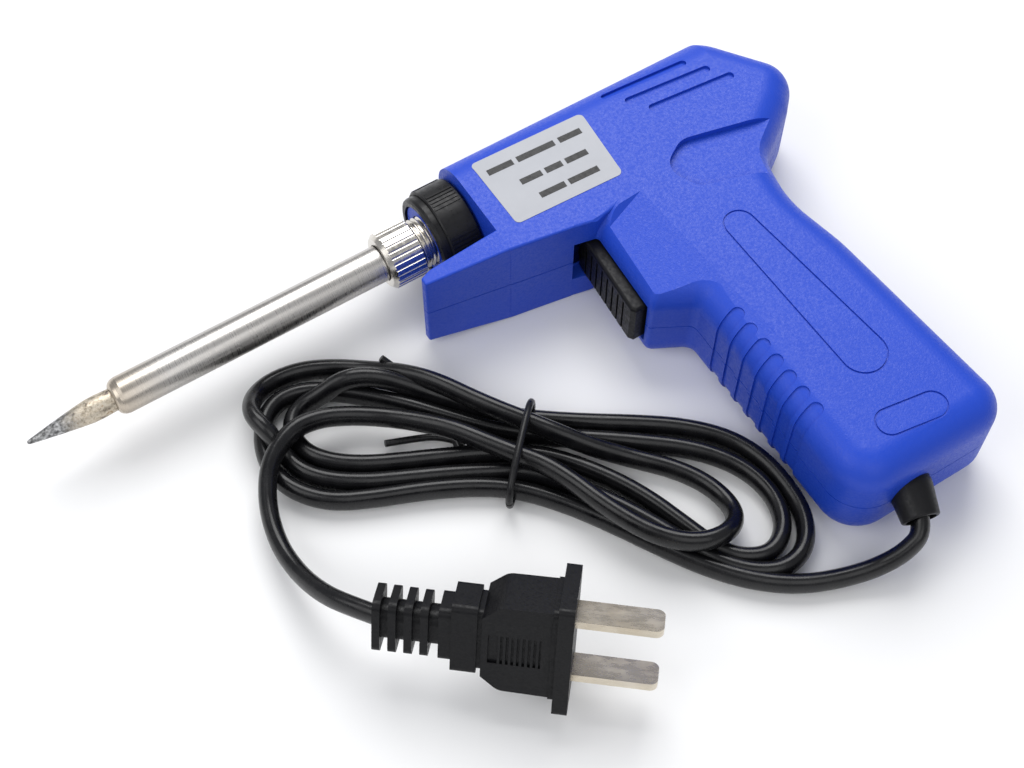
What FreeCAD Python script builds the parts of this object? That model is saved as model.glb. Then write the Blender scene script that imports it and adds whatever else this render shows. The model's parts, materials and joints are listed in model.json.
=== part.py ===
"""Pistol-grip dual-heat soldering iron, lying on its right side with its cord tied in a hank.

+X runs back along the barrel, +Y is up the gun (the grip points to -Y) and +Z is up.
The origin is on the rest face, under the point where the grip's centre plane meets the barrel axis.
"""
import FreeCAD, Part
import math
import os
from FreeCAD import Vector

# ---- driving dimensions, millimetres ------------------------------------------------
THICK = 26.0            # housing, across both halves
MID = THICK / 2         # height of the seam and of the barrel axis
WALL = 2.4              # housing wall
EDGE_R = 6.6            # big outer rounding of the housing
TOP_R = 9.4             # softer rounding along the top
TOP_Y = 9.9             # top of the housing above the barrel axis
FRONT_X = -43.0         # front face of the housing
GRIP_FRONT = -16.6
GRIP_BOTTOM = -100.5
SHELF_Y = -13.4         # top of the guard under the nose
SEAM = 0.24             # parting line groove, width
SEAM_DEEP = 0.35

BEAK_TIP_X = -61.3      # front of the guard
BEAK_HALF_FRONT = 10.6  # half thickness of the guard at its front
RIDGE_R = 0.6           # rounding along the guard and the ridge behind it

SPIGOT_R = 7.7          # nose that carries the lock ring
SPIGOT_FRONT = -52.2
COLLAR_R = 5.5          # M11 thread
THREAD_PITCH = 1.0
COLLAR_FRONT = -60.5
RING_R = 10.3
RING_FRONT = -52.7
RING_BACK = -43.5
NUT_R = 6.5
NUT_FRONT = -63.2
NUT_BACK = -55.3
TUBE_R = 4.0            # barrel tube, 8 mm
TUBE_WALL = 0.5
TUBE_FRONT = -125.0
TUBE_BACK = -60.6
TIP_END = -143.6
TIP_R = 2.5

TRIGGER_HALF = 5.8      # half thickness of the trigger bar
TRIGGER_BACK = -21.2    # back of the bar, against the inside of the housing
LEVER_PIVOT = Vector(-8.4, -40.2, MID)
LEVER_REST = 17.5       # lean of the lever towards the trigger, degrees
PLUNGER_Y = -35.8       # height of the switch plunger down the grip
PLUNGER_R = 1.2
SPRING_Y = -22.2        # height of the trigger spring down the grip
SLOT_HALF = 6.4         # half width of the trigger slot
SLOT_TOP = -18.6
SLOT_BOTTOM = -42.0

CORD_W = 5.2            # flat twin cord, 3.2 x 5.2, lying on its edge
BOOT_BASE = Vector(-2.4, -100.4, MID)
BOOT_OUT = 6.5          # length of the boot outside the grip
BOOT_YAW = 17.0         # lean towards the guard, degrees
BOOT_DROOP = 12.0       # droop towards the rest face, degrees

PLUG_START = Vector(-103.8, -68.6, 14.1)
PLUG_YAW = -40.0
PLUG_PITCH = 1.0
PLUG_ROLL = 62.5
PLUG_FACE = 37.3        # front of the plug's flange, from its cord end
BLADE_PITCH = 12.7
BLADE = (16.0, 6.3, 1.5)  # length, width, thickness

SCREWS = [(23.0, -3.5), (-35.6, -14.9), (11.5, -47.5), (-9.6, -63.0), (12.5, -87.0)]
CLAMP_Y = -85.0

# centre line of the cord from the boot to the hank, and from the hank to the plug
TAIL_ROUTE = [
    (-3.4, -103.8, 12.2), (-4.9, -108.4, 11.1), (-9.0, -109.3, 7.9), (-14.5, -108.2, 4.7),
    (-20.8, -106.0, 3.0), (-28.6, -102.7, 2.7), (-36.0, -97.0, 2.6), (-42.4, -89.2, 2.7),
    (-47.4, -80.9, 2.6),
]
LEAD_ROUTE = [
    (-97.6, -22.4, 7.9), (-104.4, -26.0, 7.1), (-108.9, -33.0, 5.6), (-111.1, -41.6, 4.9),
    (-110.9, -50.0, 6.4), (-109.4, -57.4, 9.6), (-106.9, -63.3, 12.6), (-103.2, -69.0, 14.1),
]
# outline of the tied hank: x, y, corner radius
HANK = [
    (-88.0, -6.6, 8), (-104.4, -9.4, 9), (-105.0, -33.0, 10), (-92.0, -43.4, 16),
    (-66.5, -55.8, 24), (-53.0, -77.0, 24), (-40.0, -92.0, 18), (-26.0, -99.4, 8),
    (-17.6, -96.0, 6), (-17.6, -77.5, 9), (-33.0, -57.0, 20), (-52.0, -44.4, 20),
    (-64.0, -29.0, 22), (-74.0, -13.0, 10),
]
HANK_TOP = 10.2
TIE_AT = Vector(-59.3, -47.5, 0)
TIE_WIRE = 1.5

# outline of the housing without its guard: x, y, corner radius
BODY = [
    (FRONT_X, TOP_Y, 0), (21.4, TOP_Y, 13.0), (35.8, -9.8, 7.4), (28.8, -17.2, 8.0),
    (16.6, -25.9, 7.0), (14.4, -37.5, 26.0), (17.2, -51.5, 40.0), (21.4, GRIP_BOTTOM, 6.8),
    (GRIP_FRONT, GRIP_BOTTOM, 8.6), (GRIP_FRONT, -47.6, 2.5), (-24.8, -43.2, 1.2),
    (-23.8, -22.4, 1.2), (-29.0, -21.4, 0), (FRONT_X, -19.2, 0),
]
# flat part of the sides above the guard, with the ridge that fades out behind the trigger
RIDGE = [
    (FRONT_X, -7.0, 0), (-11.0, -7.0, 0), (-11.0, -18.0, 0), (-15.5, -20.6, 5.0),
    (-24.2, -22.4, 1.6), (-29.0, -21.4, 0), (FRONT_X, -19.2, 0),
]
GUARD = [
    (BEAK_TIP_X, -14.2, 0.6), (BEAK_TIP_X + 2.5, SHELF_Y, 3.0), (-36.0, SHELF_Y, 0),
    (-29.0, -17.0, 0), (-29.0, -21.4, 0), (BEAK_TIP_X, -16.1, 0.5),
]


# ---- helpers ------------------------------------------------------------------------
def rounded_wire(corners):
    """Closed wire in the XY plane through corners (x, y, radius), with tangent arcs."""
    points = [Vector(x, y, 0) for x, y, _ in corners]
    spans = []
    for i, (_, _, radius) in enumerate(corners):
        here = points[i]
        back = (points[i - 1] - here).normalize()
        ahead = (points[(i + 1) % len(points)] - here).normalize()
        half = back.getAngle(ahead) / 2
        if radius <= 0:
            spans.append((here, None, here))
            continue
        reach = radius / math.tan(half)
        inward = (back + ahead).normalize()
        middle = here + inward * (radius / math.sin(half) - radius)
        spans.append((here + back * reach, middle, here + ahead * reach))
    edges = []
    for i, (start, middle, end) in enumerate(spans):
        if middle is not None:
            edges.append(Part.Arc(start, middle, end).toShape())
        following = spans[(i + 1) % len(spans)][0]
        if end.distanceToPoint(following) > 1e-6:
            edges.append(Part.LineSegment(end, following).toShape())
    return Part.Wire(edges)


def prism(corners, z0, z1):
    face = Part.Face(rounded_wire(corners))
    face.translate(Vector(0, 0, z0))
    return face.extrude(Vector(0, 0, z1 - z0))


def box(x0, x1, y0, y1, z0, z1):
    return Part.makeBox(x1 - x0, y1 - y0, z1 - z0, Vector(x0, y0, z0))


def rod(x0, x1, radius, y=0.0, z=MID):
    """Cylinder along X."""
    return Part.makeCylinder(radius, x1 - x0, Vector(x0, y, z), Vector(1, 0, 0))


def post(x, y, radius, z0, z1):
    """Cylinder along Z."""
    return Part.makeCylinder(radius, z1 - z0, Vector(x, y, z0), Vector(0, 0, 1))


def turned(profile):
    """Solid of revolution about the barrel axis from (x, radius) points."""
    points = [Vector(x, r, 0) for x, r in profile]
    face = Part.Face(Part.makePolygon(points + points[:1]))
    solid = face.revolve(Vector(0, 0, 0), Vector(1, 0, 0), 360)
    solid.translate(Vector(0, 0, MID))
    return solid


def rounded_bar(x0, x1, y0, y1, z0, z1, radius, axis):
    """Box with its four edges along one axis ("x" or "y") rounded."""
    solid = box(x0, x1, y0, y1, z0, z1)
    along = Vector(1, 0, 0) if axis == "x" else Vector(0, 1, 0)
    edges = [e for e in solid.Edges if abs(e.tangentAt(e.FirstParameter).dot(along)) > 0.99]
    return solid.makeFillet(radius, edges)


def mirrored(shape):
    """The shape with its copy on the other side of the seam plane."""
    twin = shape.mirror(Vector(0, 0, MID), Vector(0, 0, 1))
    return [shape, twin]


def stadium(x0, y0, x1, y1, r0, r1, z0, z1):
    """Upright prism round two circles, like a slot; the second circle may be smaller."""
    a = Vector(x0, y0, z0)
    b = Vector(x1, y1, z0)
    along = (b - a).normalize()
    side = Vector(-along.y, along.x, 0)
    lean = (r0 - r1) / a.distanceToPoint(b)
    out = math.sqrt(1 - lean * lean)

    def tangent(centre, radius, sign):
        return centre + (along * lean + side * (sign * out)) * radius

    edges = [
        Part.LineSegment(tangent(a, r0, 1), tangent(b, r1, 1)).toShape(),
        Part.Arc(tangent(b, r1, 1), b + along * r1, tangent(b, r1, -1)).toShape(),
        Part.LineSegment(tangent(b, r1, -1), tangent(a, r0, -1)).toShape(),
        Part.Arc(tangent(a, r0, -1), a - along * r0, tangent(a, r0, 1)).toShape(),
    ]
    return Part.Face(Part.Wire(edges)).extrude(Vector(0, 0, z1 - z0))


def smooth_path(route):
    """Straight runs joined by tangent arcs, as large as the runs allow."""
    points = [Vector(*p) for p in route]
    edges = []
    radii = []
    here = points[0]
    for before, corner, after in zip(points, points[1:], points[2:]):
        back = (before - corner).normalize()
        ahead = (after - corner).normalize()
        reach = 0.45 * min(corner.distanceToPoint(before), corner.distanceToPoint(after))
        turn = math.pi - back.getAngle(ahead)
        radius = reach / math.tan(turn / 2)
        radii.append(radius)
        start = corner + back * reach
        end = corner + ahead * reach
        inward = (back + ahead).normalize()
        middle = corner + inward * (radius / math.cos(turn / 2) - radius)
        edges.append(Part.LineSegment(here, start).toShape())
        edges.append(Part.Arc(start, middle, end).toShape())
        here = end
    edges.append(Part.LineSegment(here, points[-1]).toShape())
    return Part.Wire(edges), radii


def tube(route, diameter, name=""):
    """Round tube along a route; prints its radii and compares its volume when it is named."""
    path, radii = smooth_path(route)
    start = Vector(*route[0])
    direction = Vector(*route[1]) - start
    ring = Part.Wire(Part.Circle(start, direction, diameter / 2).toShape())
    solid = path.makePipeShell([ring], True, False)
    if name:
        expected = path.Length * math.pi * diameter ** 2 / 4
        print(name, "radii", [round(r, 1) for r in radii], "length", round(path.Length, 1),
              "volume ratio", round(solid.Volume / expected, 4))
    return solid


def flat_rim(solid, region):
    """Edges in the two side faces whose middle passes the region test."""
    found = []
    for edge in solid.Edges:
        middle = edge.valueAt((edge.FirstParameter + edge.LastParameter) / 2)
        level = all(abs(v.Z) < 1e-6 or abs(v.Z - THICK) < 1e-6 for v in edge.Vertexes)
        flat = abs(edge.BoundBox.ZLength) < 1e-6
        if level and flat and region(middle):
            found.append(edge)
    return found


def save(name, shape):
    if isinstance(shape, (list, tuple)):
        shape = Part.makeCompound(list(shape))
    shape.exportStep(os.path.join("parts", name + ".step"))


# ---- housing --------------------------------------------------------------------------
def outer_body():
    """The whole housing before it is hollowed and split."""
    body = prism(BODY, 0, THICK)

    def is_rounded(p):
        beside_trigger = p.x < GRIP_FRONT + 1.5 and -48.5 < p.y < SHELF_Y
        return not beside_trigger and p.x > FRONT_X + 1.0

    body = body.makeFillet(EDGE_R, flat_rim(body, is_rounded))
    # softer top: everything outside a larger rounding goes
    keep = rounded_bar(FRONT_X - 1, 60, -140, TOP_Y, 0, THICK, TOP_R, "x")
    body = body.common(keep)
    ridge = prism(RIDGE, 0, THICK)
    ridge = ridge.makeFillet(RIDGE_R, flat_rim(ridge, lambda p: p.y < -17.9 and p.x > FRONT_X + 1))
    guard = prism(GUARD, 0, THICK)
    taper = Part.Face(Part.makePolygon([
        Vector(BEAK_TIP_X - 1, 0, MID - BEAK_HALF_FRONT), Vector(FRONT_X, 0, 0), Vector(-29, 0, 0),
        Vector(-29, 0, THICK), Vector(FRONT_X, 0, THICK),
        Vector(BEAK_TIP_X - 1, 0, MID + BEAK_HALF_FRONT),
        Vector(BEAK_TIP_X - 1, 0, MID - BEAK_HALF_FRONT)]))
    taper.translate(Vector(0, -40, 0))
    guard = guard.common(taper.extrude(Vector(0, 40, 0)))
    rims = [e for e in guard.Edges
            if abs(abs(e.BoundBox.Center.z - MID) - 11.8) < 1.3 and e.BoundBox.ZLength < 2.6
            and e.BoundBox.Center.x < FRONT_X + 8]
    guard = guard.makeFillet(0.45, rims)
    spigot = rod(SPIGOT_FRONT, FRONT_X + 1, SPIGOT_R)
    return body.fuse([ridge, guard, spigot]).removeSplitter()


def cheek_cuts():
    """Shallow slopes beside the trigger that fade out towards the grip and towards the ridge."""
    front = -26.0
    fade = -12.5
    ridge_y = -21.9
    across = Part.Face(Part.makePolygon([
        Vector(front, 0, THICK - 2.9), Vector(fade, 0, THICK), Vector(fade, 0, THICK + 2),
        Vector(front, 0, THICK + 2), Vector(front, 0, THICK - 2.9)]))
    across = across.extrude(Vector(0, -70, 0))
    along = Part.Face(Part.makePolygon([
        Vector(front, -64, THICK - 3.2), Vector(front, ridge_y - 3.6, THICK - 3.2),
        Vector(front, ridge_y, THICK), Vector(front, ridge_y, THICK + 2),
        Vector(front, -64, THICK + 2), Vector(front, -64, THICK - 3.2)]))
    along = along.extrude(Vector(fade - front, 0, 0))
    cut = across.common(along)
    cut.rotate(Vector(front, ridge_y, 0), Vector(0, 0, 1), 4)
    return mirrored(cut)


def vent_cuts():
    """Three blind slots, on the label side only, of one depth below the rounded surface."""
    deep = 0.65
    core = rounded_bar(-20, 60, -60, TOP_Y - deep, -1, THICK - deep, TOP_R - deep, "x")
    cuts = []
    for i in range(3):
        x = -4.6 + 3.3 * i
        y = 4.1 - 4.2 * i
        slot = stadium(x, y, x + 18.8, y - 1.6, 0.95, 0.95, MID + 2, THICK + 1)
        cuts.append(slot.cut(core))
    return cuts


def panel_cuts():
    """Thumb rest with a fading step, and two line-edged panels on the grip."""
    thumb = prism([(24.5, -19.6, 3.0), (2.0, -14.4, 5.0), (-5.5, -19.0, 4.5),
                   (-1.5, -26.5, 3.0), (21.0, -33.0, 6.0)], THICK - 1.5, THICK + 1)
    slope = box(-10, 30, -14, 30, -1.5, 3)
    slope.translate(Vector(0, -28.0, THICK))
    slope.rotate(Vector(0, -28.0, THICK), Vector(1, 0, 0), -0.9)
    line = 0.4
    floor = THICK - 0.32
    long_panel = stadium(-0.2, -38.6, 2.2, -76.0, 3.5, 5.0, floor, THICK + 1)
    inside = stadium(-0.2, -38.6, 2.2, -76.0, 3.5 - line, 5.0 - line, floor - 1, THICK + 2)
    small = stadium(-3.0, -91.0, 6.2, -92.4, 3.1, 3.1, floor, THICK + 1)
    small_inside = stadium(-3.0, -91.0, 6.2, -92.4, 3.1 - line, 3.1 - line, floor - 1, THICK + 2)
    cuts = []
    for shape in (thumb.common(slope), long_panel.cut(inside), small.cut(small_inside)):
        cuts += mirrored(shape)
    return cuts


def finger_cuts():
    """Seven shallow bands round the front of the grip."""
    deep = 0.4
    core = rounded_bar(GRIP_FRONT + deep, 40, -120, -40, deep, THICK - deep, EDGE_R - deep, "y")
    cuts = []
    for i in range(7):
        y = -55.6 - 4.25 * i
        band = stadium(-26, y - 1.2, -13.2, y, 1.55, 1.55, -1, THICK + 1)
        cuts.append(band.cut(core))
    return cuts


def seam_cut(body):
    """Thin groove along the parting line."""
    outline = max(body.slice(Vector(0, 0, 1), MID), key=lambda w: w.BoundBox.DiagonalLength)
    face = Part.Face(outline)
    rim = face.cut(face.makeOffset2D(-SEAM_DEEP))
    rim.translate(Vector(0, 0, -SEAM / 2))
    return rim.extrude(Vector(0, 0, SEAM))


def chambers():
    """Rooms inside: behind the nose, behind the trigger and down the grip."""
    upper = rounded_bar(-37.0, 16.6, -19.0, TOP_Y - WALL, MID - 10.2, MID + 10.2, 7.0, "x")
    rear = rounded_bar(10.0, 25.2, -15.0, 0.0, MID - 9.4, MID + 9.4, 5.0, "x")
    trigger_room = box(-21.4, -10, -42.6, -17, MID - 8.2, MID + 8.2)
    grip = rounded_bar(GRIP_FRONT + 2.6, 11.8, GRIP_BOTTOM + 3.0, -12, MID - 10.4, MID + 10.4,
                       6.0, "y")
    heel = rounded_bar(5.4, 14.6, GRIP_BOTTOM + 3.0, -58, MID - 9.2, MID + 9.2, 3.6, "y")
    slot = box(-29.0, -21, SLOT_BOTTOM, SLOT_TOP, MID - SLOT_HALF, MID + SLOT_HALF)
    collar_seat = rod(-41.0, -36.5, 8.2)
    collar_bore = rod(SPIGOT_FRONT - 1, -36.5, COLLAR_R + 0.1)
    return upper.fuse([rear, trigger_room, grip, heel, slot, collar_seat, collar_bore])


def inner_posts():
    """Screw bosses and the supports that carry the fittings."""
    posts = [post(x, y, 3.4, 1.0, THICK - 1.0) for x, y in SCREWS]
    posts.append(box(-9.0, 7.0, -4.0, 3.0, 1.5, 8.0))            # under the terminal block
    posts.append(box(-4.0, 9.0, -38.5, -27.0, 1.5, 7.0))         # under the switch
    posts.append(box(-11.0, -9.2, -25.4, -17.5, 2.0, THICK - 2.0))  # seat of the trigger spring
    posts.append(box(-9.6, 5.0, CLAMP_Y - 3, CLAMP_Y + 3, 1.5, MID - CORD_W / 2))
    return posts


def spigot_groove():
    """Groove that keeps the lock ring on the nose."""
    return rod(-47.8, -46.2, SPIGOT_R + 1).cut(rod(-47.8, -46.2, SPIGOT_R - 0.8))


def housing():
    """The two moulded halves, left and right."""
    skin = outer_body().cut(cheek_cuts() + vent_cuts() + panel_cuts() + finger_cuts())
    shell = skin.cut([seam_cut(skin), spigot_groove()])
    shell = shell.cut(chambers())
    shell = shell.fuse([p.common(skin) for p in inner_posts()])
    shell = shell.cut(chamber_keepouts())
    left = shell.common(box(-80, 60, -120, 30, MID, THICK + 1))
    right = shell.common(box(-80, 60, -120, 30, -1, MID))
    left = left.cut([post(x, y, 1.25, MID - 1, THICK - 4) for x, y in SCREWS])
    right = right.cut([post(x, y, 1.7, -1, MID + 1) for x, y in SCREWS]
                      + [post(x, y, 2.9, -1, 6.0) for x, y in SCREWS])
    return left.removeSplitter(), right.removeSplitter()


def chamber_keepouts():
    """Passages that the posts must leave open."""
    cord_hole = Part.makeCylinder(4.55, 12, Vector(BOOT_BASE.x, -95, MID), Vector(0, -1, 0))
    flange_room = Part.makeCylinder(6.0, 2.4, Vector(BOOT_BASE.x, -95.2, MID), Vector(0, -1, 0))
    droop_room = Part.makeCone(4.5, 4.0, BOOT_OUT, BOOT_BASE, boot_direction())
    return [cord_hole, flange_room, droop_room]


def screw(x, y, z_head, length, shank, head_r, head_h):
    """Pan-head screw with a cross recess; its head faces -Z."""
    body = post(x, y, head_r, z_head, z_head + head_h)
    rim = [e for e in body.Edges if abs(e.BoundBox.Center.z - z_head) < 1e-6 and e.Length > 3]
    body = body.makeFillet(head_h * 0.45, rim)
    body = body.fuse(post(x, y, shank, z_head + head_h, z_head + head_h + length))
    slots = [box(x - 1.5, x + 1.5, y - 0.3, y + 0.3, z_head - 1, z_head + 0.9),
             box(x - 0.3, x + 0.3, y - 1.5, y + 1.5, z_head - 1, z_head + 0.9)]
    return body.cut(slots)


def housing_screws():
    return [screw(x, y, 3.8, 13.0, 1.25, 2.6, 2.2) for x, y in SCREWS]


def rating_label():
    """Thin sticker that follows the left side of the housing and its top rounding."""
    gauge = 0.12
    corners = [(-38.9, 3.6, 1.2), (-11.9, 2.6, 1.2), (-13.2, -15.4, 1.2), (-38.6, -14.6, 1.2)]
    area = prism(corners, MID + 6, THICK + 2)
    under = rounded_bar(-60, 20, -40, TOP_Y, 0, THICK, TOP_R, "x")
    over = rounded_bar(-60, 20, -41, TOP_Y + gauge, -gauge, THICK + gauge, TOP_R + gauge, "x")
    return area.common(over.cut(under))


# ---- nose -------------------------------------------------------------------------------
def lock_ring():
    bore = SPIGOT_R + 0.1
    lip = RING_R - 0.7
    rear = RING_FRONT + 2.1
    ring = turned([
        (RING_FRONT, bore + 0.2), (RING_FRONT, lip - 0.7), (RING_FRONT + 0.25, lip - 0.2),
        (RING_FRONT + 0.8, lip), (rear, lip), (rear, RING_R - 0.3), (rear + 0.3, RING_R - 0.05),
        (RING_BACK - 0.3, RING_R - 0.05), (RING_BACK, RING_R - 0.35), (RING_BACK, bore),
        (-46.3, bore), (-46.3, SPIGOT_R - 0.6), (-47.7, SPIGOT_R - 0.6), (-47.7, bore)])
    ribs = []
    for group in range(6):
        for i in range(5):
            angle = 60 * group + 5.2 * (i - 2) - 5
            rib = box(rear + 0.5, RING_BACK - 0.6, -0.24, 0.24, RING_R - 1.0, RING_R + 0.12)
            rib.rotate(Vector(0, 0, 0), Vector(1, 0, 0), angle)
            rib.translate(Vector(0, 0, MID))
            ribs.append(rib)
    return ring.fuse(ribs)


def threaded_collar():
    crest = COLLAR_R
    root = COLLAR_R - 0.55
    profile = [(COLLAR_FRONT, 3.3), (COLLAR_FRONT, root - 0.1)]
    x = COLLAR_FRONT + 0.5
    while x < SPIGOT_FRONT - 0.6:
        profile += [(x, crest), (x + 0.12, crest), (x + THREAD_PITCH / 2, root)]
        x += THREAD_PITCH
    profile += [(x, crest), (-41.0, crest), (-41.0, 8.0), (-38.2, 8.0), (-38.2, 3.3)]
    return turned(profile)


def barrel_nut():
    body = turned([
        (NUT_FRONT, TUBE_R + 0.15), (NUT_FRONT, NUT_R - 1.0), (NUT_FRONT + 1.0, NUT_R - 0.1),
        (NUT_BACK - 0.35, NUT_R - 0.1), (NUT_BACK, NUT_R - 0.5), (NUT_BACK, COLLAR_R + 0.1),
        (-61.9, COLLAR_R + 0.1), (-61.9, TUBE_R + 0.15)])
    count = 30
    grooves = []
    for i in range(count):
        groove = rod(NUT_FRONT + 0.6, NUT_BACK + 0.5, 0.34, y=0, z=NUT_R + 0.05)
        groove.rotate(Vector(0, 0, 0), Vector(1, 0, 0), 360.0 * i / count)
        groove.translate(Vector(0, 0, MID))
        grooves.append(groove)
    return body.cut(grooves)


def barrel_tube():
    inner = TUBE_R - TUBE_WALL
    profile = [(TUBE_FRONT + 0.6, 2.65), (TUBE_FRONT, 2.7), (TUBE_FRONT + 0.1, 3.0),
               (TUBE_FRONT + 0.5, 3.45), (TUBE_FRONT + 1.1, 3.8), (TUBE_FRONT + 1.9, TUBE_R),
               (NUT_FRONT - 0.2, TUBE_R), (NUT_FRONT - 0.2, TUBE_R - 0.3),
               (TUBE_BACK - 0.9, TUBE_R - 0.3), (TUBE_BACK - 0.9, 5.0), (TUBE_BACK, 5.0),
               (TUBE_BACK, inner), (TUBE_FRONT + 2.0, inner), (TUBE_FRONT + 2.0, 2.65)]
    return turned(profile)


def soldering_tip():
    inner = TUBE_R - TUBE_WALL
    cone = [(TIP_END, 0.01), (TIP_END + 0.1, 0.3), (TIP_END + 0.5, 0.48),
            (TIP_END + 3.0, 0.92), (TIP_END + 7.0, 1.6), (TIP_END + 10.5, 2.12),
            (TIP_END + 13.5, TIP_R), (TIP_END + 15.5, TIP_R + 0.05), (TUBE_FRONT + 0.3, 2.4)]
    shank = [(TUBE_FRONT + 2.1, 2.4), (TUBE_FRONT + 2.1, inner - 0.05), (-100.0, inner - 0.05),
             (-100.0, 0.01)]
    return turned(cone + shank)


# ---- heater ------------------------------------------------------------------------------
def heater_winding():
    """Resistance wire wound on the core, drawn as a ribbed sleeve."""
    turns = []
    x = -95.5
    while x < -66.0:
        turns += [(x, 2.75), (x + 0.4, 2.95), (x + 0.8, 2.75)]
        x += 0.8
    return turned([(-95.5, 2.3)] + turns + [(x, 2.3)])


def ceramic_bush():
    bush = turned([(-38.1, 2.3), (-38.1, 6.0), (-33.6, 6.0), (-33.6, 2.3)])
    return bush.cut([rod(-40, -30, 0.8, z=MID + 4.0), rod(-40, -30, 0.8, z=MID - 4.0)])


def heater_leads():
    wires = []
    for side in (-1, 1):
        wires.append(tube([(-33.6, 0, MID + side * 4.0), (-27.0, -0.4, MID + side * 4.2),
                           (-19.0, 0.4, MID + side * 3.4), (-10.1, 0.2, MID + side * 3.0)], 1.5))
    return wires


# ---- trigger and switch --------------------------------------------------------------------
def trigger():
    """Ribbed bar, its retaining flange behind the slot and the stem that works the switch."""
    half = TRIGGER_HALF
    side = Part.Face(Part.makePolygon([
        Vector(-26.0, -19.4, 0), Vector(-26.4, -22.0, 0), Vector(-27.6, -40.2, 0),
        Vector(-26.9, -41.3, 0), Vector(TRIGGER_BACK, -41.3, 0), Vector(TRIGGER_BACK, -19.4, 0),
        Vector(-26.0, -19.4, 0)]))
    bar = side.extrude(Vector(0, 0, 2 * half))
    bar.translate(Vector(0, 0, MID - half))
    rims = [e for e in bar.Edges
            if e.BoundBox.Center.x < -23.5 and abs(abs(e.BoundBox.Center.z - MID) - half) < 1e-6]
    bar = bar.makeFillet(0.8, rims)
    grooves = []
    for i in range(8):
        y = -22.4 - 2.15 * i
        front = -26.35 - 1.25 * (-y - 22.0) / 18.2
        groove = box(front - 1.0, front + 0.45, y - 0.28, y + 0.28, MID - half - 1, MID + half - 1.3)
        grooves.append(groove)
    bar = bar.cut(grooves)
    flange = box(TRIGGER_BACK, TRIGGER_BACK + 2.0, -42.3, -19.4, MID - 7.6, MID + 7.6)
    stem = box(TRIGGER_BACK + 2.0, -14.6, -31.5, -27.5, MID - 2.5, MID + 2.5)
    nose = post(-14.4, -29.5, 1.0, MID - 2.5, MID + 2.5)
    spring_pin = rod(TRIGGER_BACK + 2.0, -17.0, 1.2, y=SPRING_Y)
    return bar.fuse([flange, stem, nose, spring_pin]).removeSplitter()


def trigger_spring():
    wire = 0.6
    coil_r = 2.1
    start = TRIGGER_BACK + 2.0 + wire / 2 + 0.02
    length = -11.0 - wire / 2 - 0.02 - start
    helix = Part.makeHelix(length / 5.0, length, coil_r)
    ring = Part.Wire(Part.Circle(Vector(coil_r, 0, 0), Vector(0, 1, 0.12), wire / 2).toShape())
    coil = helix.makePipeShell([ring], True, True)
    coil.rotate(Vector(0, 0, 0), Vector(0, 1, 0), 90)
    coil.translate(Vector(start, SPRING_Y, MID))
    return coil


def switch_body():
    body = box(-7.0, 11.0, -41.5, -25.0, 7.0, 19.0)
    body = body.makeChamfer(0.6, [e for e in body.Edges if abs(e.BoundBox.XLength - 18.0) < 1e-6])
    ears = []
    for z in (MID - 5.4, MID + 4.2):
        ear = box(LEVER_PIVOT.x, -6.5, -41.5, -38.9, z, z + 1.2)
        ears.append(ear.fuse(post(LEVER_PIVOT.x, LEVER_PIVOT.y, 1.3, z, z + 1.2)))
    bore = rod(-7.5, -1.9, PLUNGER_R + 0.1, y=PLUNGER_Y)
    pin_hole = Part.makeCylinder(0.6, 12, LEVER_PIVOT - Vector(0, 0, 6))
    return body.fuse(ears).cut([bore, pin_hole])


def lever_pin():
    return Part.makeCylinder(0.6, 10.8, LEVER_PIVOT - Vector(0, 0, 5.4))


def switch_lever():
    eye = Part.makeCylinder(1.3, 7.6, LEVER_PIVOT - Vector(0, 0, 3.8))
    blade = box(-0.35, 0.35, 0.8, 13.0, MID - 3.0, MID + 3.0)
    blade.rotate(Vector(0, 0, 0), Vector(0, 0, 1), LEVER_REST)
    blade.translate(Vector(LEVER_PIVOT.x, LEVER_PIVOT.y, 0))
    hole = Part.makeCylinder(0.65, 12, LEVER_PIVOT - Vector(0, 0, 6))
    return eye.fuse(blade).cut(hole)


def switch_plunger():
    tip_x = -8.9
    plunger = rod(tip_x, -3.5, PLUNGER_R, y=PLUNGER_Y)
    tip = [e for e in plunger.Edges if abs(e.BoundBox.Center.x - tip_x) < 1e-6 and e.Length > 3]
    return plunger.makeFillet(0.6, tip)


def terminal_block():
    block = box(-10.0, 8.0, -5.5, 4.5, 8.0, 18.0)
    holes = []
    for y in (-3.0, 2.0):
        for x in (-6.0, -1.0, 4.0):
            holes.append(post(x, y, 1.5, 15.0, 19.0))
    holes.append(rod(-10.5, -6.0, 0.8, y=0.2, z=MID + 3.0))
    holes.append(rod(-10.5, -6.0, 0.8, y=0.2, z=MID - 3.0))
    return block.cut(holes)


def terminal_screws():
    return [post(x, y, 1.45, 15.0, 17.0).cut(box(x - 1.2, x + 1.2, y - 0.25, y + 0.25, 16.4, 18.0))
            for y in (-3.0, 2.0) for x in (-6.0, -1.0, 4.0)]


def power_diode():
    """Half-wave diode that gives the low heat until the switch bypasses it."""
    can = rod(-1.5, 4.5, 1.6, y=-14.0, z=MID + 1.8)
    legs = [rod(-4.5, -1.5, 0.4, y=-14.0, z=MID + 1.8), rod(4.5, 7.5, 0.4, y=-14.0, z=MID + 1.8)]
    return can.fuse(legs)


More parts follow.
